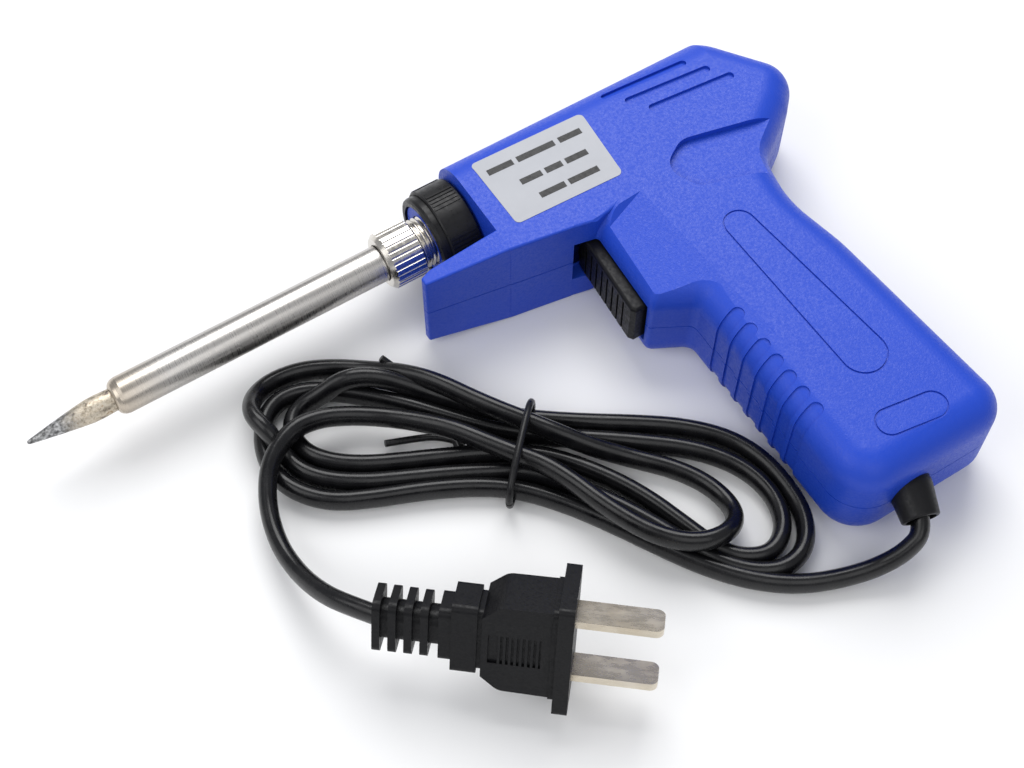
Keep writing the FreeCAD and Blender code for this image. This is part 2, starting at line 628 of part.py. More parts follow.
def inner_wires():
    """Supply cores up the grip and the links from the switch to the terminals."""
    core = 1.8
    live = tube([(-3.6, -79.7, MID), (-4.0, -70.0, MID + 0.6), (2.0, -56.0, MID + 0.4),
                 (3.0, -46.0, MID), (3.0, -41.6, MID)], core)
    neutral = tube([(-1.2, -79.7, MID), (0.4, -71.0, MID + 3.0), (6.0, -56.0, MID + 7.6),
                    (7.0, -40.0, MID + 8.1), (6.5, -20.0, MID + 7.6), (4.8, -10.4, MID + 3.4),
                    (4.6, -5.6, MID + 3.0)], core)
    link = tube([(4.0, -24.9, MID - 2), (3.6, -18.0, MID - 2.2), (3.0, -10.0, MID - 1.8),
                 (3.0, -5.6, MID - 2.0)], core)
    return live, neutral, link


# ---- cord entry -------------------------------------------------------------------------------
def boot_direction():
    yaw = math.radians(BOOT_YAW)
    droop = math.radians(BOOT_DROOP)
    return Vector(-math.sin(yaw) * math.cos(droop), -math.cos(yaw) * math.cos(droop),
                  -math.sin(droop))


def cord_boot(tail):
    along = boot_direction()
    outside = Part.makeCone(4.45, 3.85, BOOT_OUT, BOOT_BASE, along)
    rim = [e for e in outside.Edges if e.BoundBox.Center.y < -105 and e.Length > 10]
    outside = outside.makeFillet(0.5, rim)
    joint = Part.makeSphere(4.45, BOOT_BASE)
    neck = Part.makeCylinder(4.45, 5.0, Vector(BOOT_BASE.x, -95.4, MID), Vector(0, -1, 0))
    flange = Part.makeCylinder(5.9, 2.0, Vector(BOOT_BASE.x, -95.4, MID), Vector(0, -1, 0))
    bore = Part.makeCylinder(3.1, 6.0, BOOT_BASE + along * (BOOT_OUT - 2.5), along)
    boot = outside.fuse([joint.common(box(-20, 20, -110, -99, 0, THICK)), neck, flange])
    return boot.cut([bore, tail])


def cord_inner():
    """The end of the cord between the boot and the clamp."""
    return Part.makeCylinder(CORD_W / 2, 15.4, Vector(BOOT_BASE.x, -80.0, MID), Vector(0, -1, 0))


def cord_clamp():
    x = BOOT_BASE.x
    top = MID + CORD_W / 2
    bar = box(x - 7.2, x + 7.2, CLAMP_Y - 2.2, CLAMP_Y + 2.2, top - 1.0, top + 2.0)
    saddle = Part.makeCylinder(CORD_W / 2, 6, Vector(x, CLAMP_Y - 3, MID), Vector(0, 1, 0))
    return bar.cut([saddle, post(x - 5.3, CLAMP_Y, 0.95, 0, 30), post(x + 5.3, CLAMP_Y, 0.95, 0, 30)])


def clamp_screws():
    x = BOOT_BASE.x
    screws = []
    for side in (-5.3, 5.3):
        head = post(x + side, CLAMP_Y, 1.7, MID + CORD_W / 2 + 2.0, MID + CORD_W / 2 + 3.2)
        shank = post(x + side, CLAMP_Y, 0.95, MID - 1.0, MID + CORD_W / 2 + 2.0)
        slot = box(x + side - 1.2, x + side + 1.2, CLAMP_Y - 0.2, CLAMP_Y + 0.2,
                   MID + CORD_W / 2 + 2.6, MID + CORD_W / 2 + 4)
        screws.append(head.fuse(shank).cut(slot))
    return screws


# ---- cord, hank and plug -------------------------------------------------------------------------
def cord_tail():
    route = list(TAIL_ROUTE)
    start = BOOT_BASE + boot_direction() * (BOOT_OUT - 2.5)
    route[0] = (start.x, start.y, start.z)
    return tube(route, CORD_W, "cord_tail")


def cord_lead():
    return tube(LEAD_ROUTE, CORD_W, "cord_lead")


def cord_tie():
    """Twist tie round the waist of the hank, with its two ends left loose."""
    across = 11.9
    tie_r = TIE_WIRE / 2
    corners = [(-across, tie_r, 3.0), (across, tie_r, 3.0), (across, HANK_TOP + tie_r + 0.1, 3.0),
               (-across, HANK_TOP + tie_r + 0.1, 3.0)]
    path = rounded_wire(corners)
    ring = Part.Wire(Part.Circle(Vector(0, tie_r, 0), Vector(1, 0, 0), tie_r).toShape())
    loop = path.makePipeShell([ring], True, True)
    loop.rotate(Vector(0, 0, 0), Vector(1, 0, 0), 90)
    loop.rotate(Vector(0, 0, 0), Vector(0, 0, 1), 56.0)
    loop.translate(TIE_AT)
    return loop


def cord_hank(neighbours):
    hank = prism(HANK, 0, HANK_TOP)
    rim = [e for e in hank.Edges if abs(e.BoundBox.ZLength) < 1e-6]
    hank = hank.makeFillet(2.0, rim)
    return hank.cut(neighbours)


def placed_plug(shape):
    """From the plug's own frame (cord end at 0, blades along +X) to where it lies."""
    shape = shape.copy()
    origin = Vector(0, 0, 0)
    shape.rotate(origin, Vector(1, 0, 0), PLUG_ROLL)
    shape.rotate(origin, Vector(0, 1, 0), -PLUG_PITCH)
    shape.rotate(origin, Vector(0, 0, 1), PLUG_YAW)
    shape.translate(PLUG_START)
    return shape


def slab(x0, x1, wide, high, radius):
    """Rounded block centred on the plug's axis."""
    solid = box(x0, x1, -wide / 2, wide / 2, -high / 2, high / 2)
    edges = [e for e in solid.Edges if abs(e.BoundBox.XLength - (x1 - x0)) < 1e-6]
    return solid.makeFillet(radius, edges)


def plug_boot():
    core = slab(0.0, 14.8, 7.4, 5.6, 2.2)
    rings = [slab(3.0 * i, 3.0 * i + 1.5, 11.6 - 0.1 * i, 7.6, 1.6) for i in range(4)]
    step = slab(12.4, 14.8, 11.8, 7.2, 1.4)
    return core.fuse([*rings, step]).removeSplitter()


def plug_body():
    block = slab(14.8, 19.6, 15.6, 8.4, 1.2)
    waist = slab(19.6, 20.6, 13.8, 7.6, 1.2)
    outline = [(20.6, -6.9, 0), (24.0, -9.8, 3.0), (34.4, -10.0, 0), (34.4, 10.0, 0),
               (24.0, 9.8, 3.0), (20.6, 6.9, 0)]
    body = prism(outline, -5.2, 5.2)
    flare = slab(33.4, 34.4, 21.0, 11.6, 1.2)
    flange = slab(34.4, PLUG_FACE, 25.0, 14.6, 1.0)
    solid = block.fuse([waist, body, flare, flange])
    half = 3.3              # half width of the ribbed panel
    panels = [box(21.8, 31.6, -half, half, 4.7, 6.2), box(21.8, 31.6, -half, half, -6.2, -4.7)]
    solid = solid.cut(panels)
    ribs = []
    for i in range(8):
        x = 23.6 + 1.02 * i
        ribs.append(box(x, x + 0.5, -half, half, 4.5, 5.2))
        ribs.append(box(x, x + 0.5, -half, half, -5.2, -4.5))
    return solid.fuse(ribs).removeSplitter()


def plug_blades():
    length, tall, thin = BLADE
    end = PLUG_FACE + length
    blades = []
    for side in (-1, 1):
        y = side * BLADE_PITCH / 2
        blade = box(PLUG_FACE, end, y - thin / 2, y + thin / 2, -tall / 2, tall / 2)
        tips = [e for e in blade.Edges
                if abs(e.BoundBox.Center.x - end) < 1e-6 and e.BoundBox.YLength > 1]
        blades.append(blade.makeFillet(1.6, tips))
    return blades


def main():
    os.makedirs("parts", exist_ok=True)
    left, right = housing()
    save("left_housing", left)
    save("right_housing", right)
    save("housing_screws", housing_screws())
    save("rating_label", rating_label())
    save("lock_ring", lock_ring())
    save("threaded_collar", threaded_collar())
    save("barrel_nut", barrel_nut())
    save("barrel_tube", barrel_tube())
    save("soldering_tip", soldering_tip())
    save("heater_core", rod(-97.0, -33.6, 2.3))
    save("heater_winding", heater_winding())
    save("mica_sleeve", turned([(-96.5, 3.0), (-96.5, 3.2), (-65.0, 3.2), (-65.0, 3.0)]))
    save("ceramic_bush", ceramic_bush())
    save("heater_leads", heater_leads())
    save("trigger", trigger())
    save("trigger_spring", trigger_spring())
    save("switch_body", switch_body())
    save("switch_lever", switch_lever())
    save("lever_pin", lever_pin())
    save("switch_plunger", switch_plunger())
    save("terminal_block", terminal_block())
    save("terminal_screws", terminal_screws())
    save("power_diode", power_diode())
    live, neutral, link = inner_wires()
    save("live_wire", live)
    save("neutral_wire", neutral)
    save("switch_link_wire", link)
    tail = cord_tail()
    save("cord_boot", cord_boot(tail))
    save("cord_inner", cord_inner())
    save("cord_clamp", cord_clamp())
    save("clamp_screws", clamp_screws())
    boot_of_plug = placed_plug(plug_boot())
    lead = cord_lead().cut(boot_of_plug)
    tie = cord_tie()
    save("cord_tail", tail)
    save("cord_lead", lead)
    save("cord_tie", tie)
    save("cord_hank", cord_hank([tail, lead, tie]))
    save("plug_boot", boot_of_plug)
    save("plug_body", placed_plug(plug_body()))
    save("plug_blades", [placed_plug(b) for b in plug_blades()])


main()
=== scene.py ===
"""Looks of a pistol-grip soldering iron that lies on its side, its mains cord tied in a hank.

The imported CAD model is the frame: housing, nose, trigger, plug and boots keep their CAD meshes and
get their finishes here. The cord, its twist tie, the trigger's spring and the marks on the label
are built here.
Lengths in the tables are in millimetres, and MM turns them into the frame's metres.
"""

import json
import math

import bmesh
import bpy
from mathutils import Matrix, Vector


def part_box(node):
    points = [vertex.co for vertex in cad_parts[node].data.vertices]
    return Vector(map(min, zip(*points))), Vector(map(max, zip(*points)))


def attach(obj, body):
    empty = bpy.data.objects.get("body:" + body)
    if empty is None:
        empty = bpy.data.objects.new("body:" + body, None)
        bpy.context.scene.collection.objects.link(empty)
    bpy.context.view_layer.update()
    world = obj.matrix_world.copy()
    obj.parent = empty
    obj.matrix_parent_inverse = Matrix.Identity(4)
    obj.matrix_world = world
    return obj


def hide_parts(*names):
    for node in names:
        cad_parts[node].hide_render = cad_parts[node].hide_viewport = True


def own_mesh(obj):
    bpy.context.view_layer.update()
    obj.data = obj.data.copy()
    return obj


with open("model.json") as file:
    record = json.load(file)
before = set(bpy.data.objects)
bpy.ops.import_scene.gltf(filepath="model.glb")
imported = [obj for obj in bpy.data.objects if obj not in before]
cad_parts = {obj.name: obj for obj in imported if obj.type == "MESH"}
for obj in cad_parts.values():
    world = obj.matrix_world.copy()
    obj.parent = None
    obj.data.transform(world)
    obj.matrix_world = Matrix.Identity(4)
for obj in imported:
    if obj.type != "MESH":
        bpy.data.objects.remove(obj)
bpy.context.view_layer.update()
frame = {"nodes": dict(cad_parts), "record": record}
nodes = frame["nodes"]

MM = 0.001

# ---- camera -----------------------------------------------------------------------------
CAMERA_AT = Vector((-146.5, -184.3, 309.3)) * MM
CAMERA_TARGET = Vector((-51.5, -33.1, 0.0)) * MM
LENS_MM = 59.8
SENSOR_MM = 36

# ---- cord -------------------------------------------------------------------------------
CORD_WIDE = 3.7
CORD_HIGH = 5.2
LOW = 2.6    # height of a strand's centre where it lies on the surface
OVER = 7.8   # where it crosses one strand

# The route of the cord as control points (x, y, height), in the order the cord runs.
TAIL = [(-3.5, -104.1, 12.2), (-4.9, -108.4, 11.1), (-9.0, -109.3, 7.9), (-14.5, -108.2, 4.7),
        (-20.8, -106.0, 3.0), (-28.6, -102.7, 2.7), (-36.0, -97.0, LOW), (-42.4, -89.2, LOW),
        (-47.4, -80.9, LOW), (-53.0, -71.0, LOW), (-58.4, -62.6, LOW)]
LEFT_2 = [(-64.6, -55.3, LOW), (-71.5, -50.4, LOW), (-80.5, -45.8, LOW), (-89.5, -42.2, LOW),
          (-97.5, -38.2, LOW), (-102.3, -32.6, LOW), (-104.2, -27.0, LOW), (-103.9, -22.0, LOW),
          (-101.8, -16.8, LOW), (-98.4, -13.2, LOW), (-93.8, -11.9, LOW), (-88.2, -13.6, LOW),
          (-82.0, -18.4, LOW), (-75.2, -25.0, LOW), (-68.4, -33.2, LOW), (-62.4, -40.4, LOW)]
RIGHT_2 = [(-57.5, -45.0, LOW), (-51.5, -49.8, LOW), (-44.5, -54.8, LOW), (-37.0, -60.4, LOW),
           (-29.8, -66.4, LOW), (-24.8, -72.6, LOW), (-22.1, -78.8, LOW), (-21.7, -85.4, LOW),
           (-24.2, -91.4, LOW), (-29.6, -94.4, LOW), (-35.2, -91.9, LOW), (-38.4, -87.0, LOW),
           (-40.6, -80.0, LOW), (-43.0, -72.4, LOW), (-46.2, -65.4, LOW), (-50.6, -58.4, LOW),
           (-55.2, -52.6, LOW)]
LEFT_3 = [(-60.3, -48.7, LOW), (-66.2, -45.0, LOW), (-73.2, -41.6, LOW), (-80.4, -38.2, LOW),
          (-87.2, -34.8, LOW), (-92.6, -31.0, LOW), (-96.2, -26.4, LOW), (-97.0, -21.6, LOW),
          (-95.6, -17.8, LOW), (-92.0, -16.0, 2.9), (-87.4, -16.6, 4.6), (-82.6, -17.6, OVER),
          (-77.6, -19.8, OVER), (-72.2, -23.8, 5.6), (-66.0, -30.4, 2.8), (-60.6, -37.0, LOW)]
RIGHT_3 = [(-55.6, -41.8, LOW), (-49.8, -46.4, LOW), (-43.0, -51.2, LOW), (-35.8, -56.0, LOW),
           (-28.2, -61.6, LOW), (-21.9, -68.4, LOW), (-18.7, -75.8, LOW), (-18.1, -83.8, LOW),
           (-19.1, -91.4, LOW), (-23.1, -97.0, LOW), (-29.2, -98.4, LOW), (-34.8, -95.6, LOW),
           (-39.4, -90.2, LOW), (-42.6, -83.4, LOW), (-46.0, -75.8, LOW), (-49.6, -68.8, LOW),
           (-53.8, -62.0, LOW), (-58.0, -56.4, LOW)]
LEFT_1 = [(-62.3, -52.2, LOW), (-68.2, -48.8, LOW), (-75.0, -45.2, LOW), (-82.0, -41.8, LOW),
          (-89.0, -38.4, LOW), (-95.6, -33.8, LOW), (-99.4, -28.8, LOW), (-100.3, -24.2, 3.0),
          (-101.4, -19.8, OVER), (-102.4, -15.6, OVER), (-101.2, -11.4, 5.4), (-98.0, -8.3, 3.2),
          (-93.4, -7.3, LOW), (-87.4, -8.4, LOW), (-81.4, -11.6, LOW), (-75.8, -16.2, 3.2),
          (-70.8, -22.0, 6.0), (-66.6, -28.4, OVER), (-62.8, -35.2, OVER), (-59.6, -40.4, OVER)]
RIGHT_1 = [(-56.9, -44.4, OVER), (-52.4, -50.6, 7.2), (-46.8, -56.8, 4.6), (-40.6, -62.6, 2.8),
           (-35.0, -68.6, LOW), (-31.4, -74.8, LOW), (-30.2, -80.6, 2.8), (-31.6, -85.0, 4.4),
           (-35.6, -87.4, 7.0), (-40.6, -87.0, OVER), (-45.0, -84.2, OVER), (-48.6, -79.8, OVER),
           (-51.4, -74.2, OVER), (-53.8, -67.8, OVER), (-55.8, -61.4, OVER), (-58.4, -55.6, OVER)]
OVER_ALL = [(-61.8, -51.0, OVER), (-65.4, -45.6, OVER), (-69.2, -39.6, 7.6), (-73.8, -33.8, 6.2),
            (-79.4, -28.4, 5.4), (-85.4, -24.6, 6.0), (-91.4, -22.5, 7.4)]
LEAD = [(-97.6, -22.4, 8.0), (-104.4, -26.0, 7.1), (-108.9, -33.0, 5.6), (-111.1, -41.6, 4.9),
        (-110.9, -50.0, 6.4), (-109.4, -57.4, 9.6), (-106.9, -63.3, 12.6), (-103.2, -69.0, 14.1)]

# ---- twist tie --------------------------------------------------------------------------
TIE_WIRE = 1.5              # diameter of its coated wire
TIE_MIDDLE = (-60.0, -50.0)
TIE_TURN = math.radians(46)  # direction across the waist
TIE_HALF = 11.2             # half width of the loop
TIE_TOP = 11.6              # height of its top
# the loop as (share of the half width, share of the height), from one side over to the other
TIE_LOOP = [(-0.96, 0.10), (-1.04, 0.42), (-0.94, 0.78), (-0.55, 0.98), (0.0, 1.02), (0.5, 1.0),
            (0.86, 0.84), (1.02, 0.5), (0.98, 0.16), (0.7, 0.0), (0.0, 0.0), (-0.7, 0.0)]
# the two loose ends that show from under the strands
TIE_TAILS = [
    [(-69.6, -42.0, 1.2), (-68.0, -35.0, 1.6), (-67.4, -28.0, 1.4), (-69.8, -21.4, 2.6),
     (-73.2, -16.6, 6.6)],
    [(-67.6, -40.4, 1.0), (-70.5, -36.4, 1.0), (-76.0, -34.0, 1.4), (-81.7, -32.5, 2.6)],
]

# ---- trigger spring ---------------------------------------------------------------------
SPRING_WIRE = 0.6           # diameter
SPRING_TURNS = 5
STEPS_PER_TURN = 24

# ---- label ------------------------------------------------------------------------------
# each row of bars: its Y before the slant, then (start, length) of each bar along the label
LABEL_ROWS = [(-0.5, [(1.6, 6.0), (8.6, 9.0), (18.7, 5.4)]),
              (-5.9, [(6.4, 5.0), (12.3, 4.0), (17.2, 5.2)]),
              (-10.8, [(8.2, 6.0), (15.1, 7.1)])]
BAR_TALL = 1.5              # across the row
BAR_GAUGE = 0.03            # thickness
BAR_LIFT = 0.012            # middle of the bars above the label
LABEL_MARGIN = 0.3          # from the label's front edge to where the rows are measured from
LABEL_SLANT = math.radians(-2.1)

# ---- studio -----------------------------------------------------------------------------
FLOOR_REACH = 4.0           # metres
FLOOR_DROP = 0.1            # the floor lies this far under the rest face
SKY_STRENGTH = 0.42
AIM_HEIGHT = 10             # the lights aim this far above the rest face
# name, direction from the object, distance and width in metres, watts
SOFTBOXES = [("key", (0.45, 0.75, 1.2), 0.75, 0.55, 4.9),
             ("left", (-1.0, 0.1, 0.9), 0.7, 0.5, 1.6),
             ("front", (-0.3, -1.0, 1.0), 0.8, 0.6, 1.4)]


# ---- shader helpers ---------------------------------------------------------------------
class Finish:
    """A Principled material and the few node patterns that the finishes share."""

    def __init__(self, name, colour, roughness, metallic=0.0):
        self.material = bpy.data.materials.new(name)
        self.material.use_nodes = True
        self.tree = self.material.node_tree
        self.shader = next(n for n in self.tree.nodes if n.type == "BSDF_PRINCIPLED")
        self.shader.inputs["Base Color"].default_value = (*colour, 1)
        self.shader.inputs["Roughness"].default_value = roughness
        self.shader.inputs["Metallic"].default_value = metallic
        self.place = self.tree.nodes.new("ShaderNodeTexCoord").outputs["Object"]
        self.height = None

    def link(self, a, b):
        self.tree.links.new(a, b)

    def stretched(self, scale):
        """The object's own coordinates, scaled differently along each axis."""
        mapping = self.tree.nodes.new("ShaderNodeMapping")
        mapping.inputs["Scale"].default_value = scale
        self.link(self.place, mapping.inputs["Vector"])
        return mapping.outputs["Vector"]

    def noise(self, scale, detail=2.0, place=None, roughness=0.5):
        node = self.tree.nodes.new("ShaderNodeTexNoise")
        node.inputs["Scale"].default_value = scale
        node.inputs["Detail"].default_value = detail
        node.inputs["Roughness"].default_value = roughness
        self.link(place or self.place, node.inputs["Vector"])
        return node.outputs["Fac"]

    def ramp(self, value, stops):
        """A colour ramp: stops are (position, grey or colour)."""
        node = self.tree.nodes.new("ShaderNodeValToRGB")
        points = node.color_ramp.elements
        while len(points) < len(stops):
            points.new(0.5)
        for point, (at, colour) in zip(points, stops):
            point.position = at
            point.color = (*colour, 1) if isinstance(colour, tuple) else (colour, colour, colour, 1)
        self.link(value, node.inputs["Fac"])
        return node.outputs["Color"]

    def spread(self, value, low, high):
        """The value from 0.3 to 0.7 carried to the range low to high."""
        node = self.tree.nodes.new("ShaderNodeMapRange")
        node.inputs["From Min"].default_value = 0.3
        node.inputs["From Max"].default_value = 0.7
        node.inputs["To Min"].default_value = low
        node.inputs["To Max"].default_value = high
        self.link(value, node.inputs["Value"])
        return node.outputs["Result"]

    def along_x(self, start, end, top):
        """A value that goes from 0 to top as the object's own X goes from start to end."""
        split = self.tree.nodes.new("ShaderNodeSeparateXYZ")
        self.link(self.place, split.inputs["Vector"])
        node = self.tree.nodes.new("ShaderNodeMapRange")
        node.inputs["From Min"].default_value = start
        node.inputs["From Max"].default_value = end
        node.inputs["To Max"].default_value = top
        self.link(split.outputs["X"], node.inputs["Value"])
        return node.outputs["Result"]

    def mix(self, factor, a, b):
        node = self.tree.nodes.new("ShaderNodeMix")
        node.data_type = "RGBA"
        for socket, value in ((node.inputs[0], factor), (node.inputs[6], a), (node.inputs[7], b)):
            if isinstance(value, tuple):
                socket.default_value = (*value, 1)
            elif isinstance(value, (int, float)):
                socket.default_value = value
            else:
                self.link(value, socket)
        return node.outputs[2]

    def colour(self, value):
        self.link(value, self.shader.inputs["Base Color"])

    def roughness(self, value):
        self.link(value, self.shader.inputs["Roughness"])

    def bump(self, value, depth_mm, strength=1.0):
        """Adds relief of that depth on top of the relief already there."""
        node = self.tree.nodes.new("ShaderNodeBump")
        node.inputs["Distance"].default_value = depth_mm * MM
        node.inputs["Strength"].default_value = strength
        self.link(value, node.inputs["Height"])
        if self.height is not None:
            self.link(self.height, node.inputs["Normal"])
        self.height = node.outputs["Normal"]
        self.link(self.height, self.shader.inputs["Normal"])


def grained_plastic(name, colour, lighter, roughness, grain, depth_mm):
    """Moulded plastic with a spark-eroded grain; grain is how many grains lie in a metre."""
    f = Finish(name, colour, roughness)
    fine = f.noise(grain, 2.0, roughness=0.6)
    coarse = f.noise(grain * 0.4, 2.0)
    tone = f.noise(38, 3.0)
    f.colour(f.mix(f.spread(tone, 0.0, 1.0), colour, lighter))
    f.roughness(f.spread(f.noise(grain * 0.7, 1.0), roughness - 0.10, roughness + 0.12))
    f.shader.inputs["Specular IOR Level"].default_value = 0.22
    f.bump(coarse, depth_mm * 0.4, 0.5)
    f.bump(fine, depth_mm, 1.0)
    return f


def bare_metal(name, colour, shade, roughness, stretch, depth_mm):
    """Metal with fine marks drawn out along the axis whose stretch is small."""
    f = Finish(name, colour, roughness, metallic=1.0)
    marks = f.noise(1.0, 4.0, f.stretched(stretch), 0.65)
    smudge = f.noise(140, 3.0)
    f.colour(f.mix(f.spread(smudge, 0.0, 1.0), colour, shade))
    f.roughness(f.spread(marks, roughness - 0.06, roughness + 0.14))
    f.bump(marks, depth_mm, 0.6)
    return f


# ---- finishes ---------------------------------------------------------------------------
def blue_housing():
    f = grained_plastic("blue_abs", (0.013, 0.058, 0.50), (0.014, 0.062, 0.52), 0.42, 2600, 0.050)
    f.shader.inputs["Specular IOR Level"].default_value = 0.30
    return f


def stainless_tube():
    """Turned satin steel: streaks along the barrel, fine turning marks and heat colour in front."""
    f = Finish("satin_steel", (0.56, 0.54, 0.51), 0.3, metallic=1.0)
    streaks = f.noise(1.0, 4.0, f.stretched((30, 900, 900)), 0.6)
    turned = f.noise(1.0, 3.0, f.stretched((5200, 60, 60)), 0.6)
    steel = f.mix(f.spread(streaks, 0.0, 1.0), (0.60, 0.58, 0.55), (0.44, 0.42, 0.40))
    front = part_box("barrel_tube")[0].x
    heat = f.along_x(front + 12 * MM, front, 0.75)
    f.colour(f.mix(heat, steel, (0.52, 0.44, 0.34)))
    f.roughness(f.spread(turned, 0.22, 0.40))
    f.bump(turned, 0.006, 0.6)
    f.bump(streaks, 0.008, 0.5)
    return f


def plated_tip():
    """Heat-stained plating on the shank, dull tinned metal with pits towards the point."""
    f = Finish("stained_plating", (0.45, 0.41, 0.36), 0.4, metallic=1.0)
    blotch = f.noise(620, 5.0, roughness=0.7)
    shank = f.ramp(blotch, [(0.36, (0.20, 0.17, 0.15)), (0.47, (0.50, 0.43, 0.33)),
                            (0.56, (0.68, 0.62, 0.52)), (0.66, (0.42, 0.31, 0.20))])
    dross = f.ramp(f.noise(1500, 4.0), [(0.35, 0.10), (0.52, 0.30), (0.7, 0.62)])
    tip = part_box("soldering_tip")[0].x
    f.colour(f.mix(f.along_x(tip + 12 * MM, tip + 7 * MM, 1.0), shank, dross))
    f.roughness(f.spread(blotch, 0.28, 0.62))
    f.bump(f.noise(1300, 4.0, roughness=0.7), 0.09, 0.8)
    return f


def silver_label():
    f = Finish("label_vinyl", (0.42, 0.43, 0.46), 0.5)
    f.shader.inputs["Specular IOR Level"].default_value = 0.2
    f.colour(f.mix(f.spread(f.noise(60, 3.0), 0, 1), (0.41, 0.42, 0.45), (0.44, 0.45, 0.48)))
    f.roughness(f.spread(f.noise(900, 2.0), 0.46, 0.58))
    f.bump(f.noise(260, 2.0), 0.012, 0.5)
    return f


def cord_sheath():
    """Smooth PVC with a slight orange peel and dusty, scuffed patches."""
    f = Finish("cord_pvc", (0.005, 0.005, 0.006), 0.26)
    f.shader.inputs["Specular IOR Level"].default_value = 0.36
    f.colour(f.mix(f.spread(f.noise(260, 4.0), 0, 1), (0.003, 0.003, 0.004), (0.009, 0.009, 0.010)))
    f.roughness(f.spread(f.noise(420, 4.0, roughness=0.65), 0.18, 0.34))
    f.bump(f.noise(700, 3.0), 0.03, 0.6)
    f.bump(f.noise(3200, 2.0), 0.008, 0.6)
    return f


FINISHES = {
    "housing_blue": blue_housing(),
    "ring_black": grained_plastic("ring_nylon", (0.008, 0.008, 0.009), (0.012, 0.012, 0.013),
                                  0.36, 1400, 0.016),
    "trigger_black": grained_plastic("trigger_plastic", (0.003, 0.003, 0.004),
                                     (0.005, 0.005, 0.006), 0.44, 2100, 0.024),
    "label_grey": silver_label(),
    "nickel": bare_metal("nickel_plate", (0.74, 0.71, 0.66), (0.60, 0.57, 0.52), 0.16,
                         (900, 140, 140), 0.006),
    "tube_steel": stainless_tube(),
    "tip_plated": plated_tip(),
    "ceramic_white": grained_plastic("ceramic", (0.78, 0.76, 0.71), (0.86, 0.84, 0.80),
                                     0.6, 1500, 0.02),
    "heater_wire": bare_metal("resistance_wire", (0.34, 0.32, 0.30), (0.22, 0.20, 0.20), 0.42,
                              (400, 900, 900), 0.01),
    "mica": grained_plastic("mica_sheet", (0.52, 0.46, 0.34), (0.66, 0.60, 0.47), 0.3, 500, 0.02),
    "lead_sleeve": grained_plastic("glass_sleeving", (0.66, 0.64, 0.58), (0.76, 0.74, 0.69),
                                   0.7, 3000, 0.06),
    "spring_steel": bare_metal("spring_steel", (0.58, 0.58, 0.58), (0.46, 0.46, 0.47), 0.26,
                               (900, 900, 120), 0.006),
    "screw_steel": bare_metal("zinc_plate", (0.56, 0.54, 0.50), (0.44, 0.42, 0.38), 0.3,
                              (500, 500, 500), 0.008),
    "switch_black": grained_plastic("switch_plastic", (0.025, 0.025, 0.028),
                                    (0.035, 0.035, 0.038), 0.45, 1800, 0.015),
    "plunger_red": grained_plastic("plunger_plastic", (0.40, 0.02, 0.015), (0.48, 0.03, 0.02),
                                   0.3, 1200, 0.01),
    "brass_plain": bare_metal("brass", (0.70, 0.52, 0.24), (0.58, 0.42, 0.20), 0.25,
                              (600, 600, 600), 0.008),
    "wire_brown": grained_plastic("brown_core", (0.10, 0.035, 0.015), (0.14, 0.05, 0.02),
                                  0.36, 1600, 0.008),
    "wire_blue": grained_plastic("blue_core", (0.02, 0.07, 0.34), (0.03, 0.10, 0.42),
                                 0.36, 1600, 0.008),
    "cord_rubber": grained_plastic("boot_rubber", (0.006, 0.006, 0.007), (0.010, 0.010, 0.011),
                                   0.40, 2600, 0.014),
    "cord_sheath": cord_sheath(),
    "clamp_fibre": grained_plastic("clamp_fibre", (0.22, 0.12, 0.06), (0.30, 0.17, 0.09),
                                   0.6, 900, 0.03),
    "tie_black": grained_plastic("tie_plastic", (0.010, 0.010, 0.011), (0.018, 0.018, 0.019),
                                 0.3, 1800, 0.01),
    "plug_black": grained_plastic("plug_pvc", (0.003, 0.003, 0.004), (0.006, 0.006, 0.007),
                                  0.42, 2200, 0.034),
    "blade_nickel": bare_metal("blade_plate", (0.70, 0.64, 0.54), (0.56, 0.49, 0.38), 0.24,
                               (260, 260, 1500), 0.01),
}


def finish_cad_nodes():
    for row in frame["record"]["subparts"]:
        cad = nodes[row["node"]]
        cad.data.materials.clear()
        cad.data.materials.append(FINISHES[row["material_slot"]].material)


# ---- meshes -----------------------------------------------------------------------------
def added(name, data, finish, body="gun"):
    """A new piece with its finish, riding on a body."""
    piece = bpy.data.objects.new(name, data)
    bpy.context.scene.collection.objects.link(piece)
    data.materials.append(FINISHES[finish].material)
    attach(piece, body)
    return piece


def oval_profile(name, wide, high):
    """Closed oval outline of the twin cord."""
    outline = bpy.data.curves.new(name, "CURVE")
    outline.dimensions = "2D"
    spline = outline.splines.new("NURBS")
    count = 12
    fuller = 1.035  # a quadratic spline runs a little inside its control points
    turns = [2 * math.pi * i / count for i in range(count)]
    ring = [(wide / 2 * fuller * math.sin(a), high / 2 * fuller * math.cos(a)) for a in turns]
    spline.points.add(len(ring) - 1)
    for point, (x, y) in zip(spline.points, ring):
        point.co = (x * MM, y * MM, 0, 1)
    spline.use_cyclic_u = True
    spline.order_u = 3
    spline.resolution_u = 3
    piece = bpy.data.objects.new(name, outline)
    bpy.context.scene.collection.objects.link(piece)
    piece.hide_render = True
    return piece


def add_spline(curve, route, closed=False):
    """Adds a NURBS spline with the route's points as its control points."""
    spline = curve.splines.new("NURBS")
    spline.points.add(len(route) - 1)
    for point, (x, y, z) in zip(spline.points, route):
        point.co = (x * MM, y * MM, z * MM, 1)
    spline.order_u = 3
    spline.use_endpoint_u = not closed
    spline.use_cyclic_u = closed


def route_curve(name, resolution):
    curve = bpy.data.curves.new(name, "CURVE")
    curve.dimensions = "3D"
    curve.twist_mode = "Z_UP"
    curve.resolution_u = resolution
    curve.use_fill_caps = True
    return curve


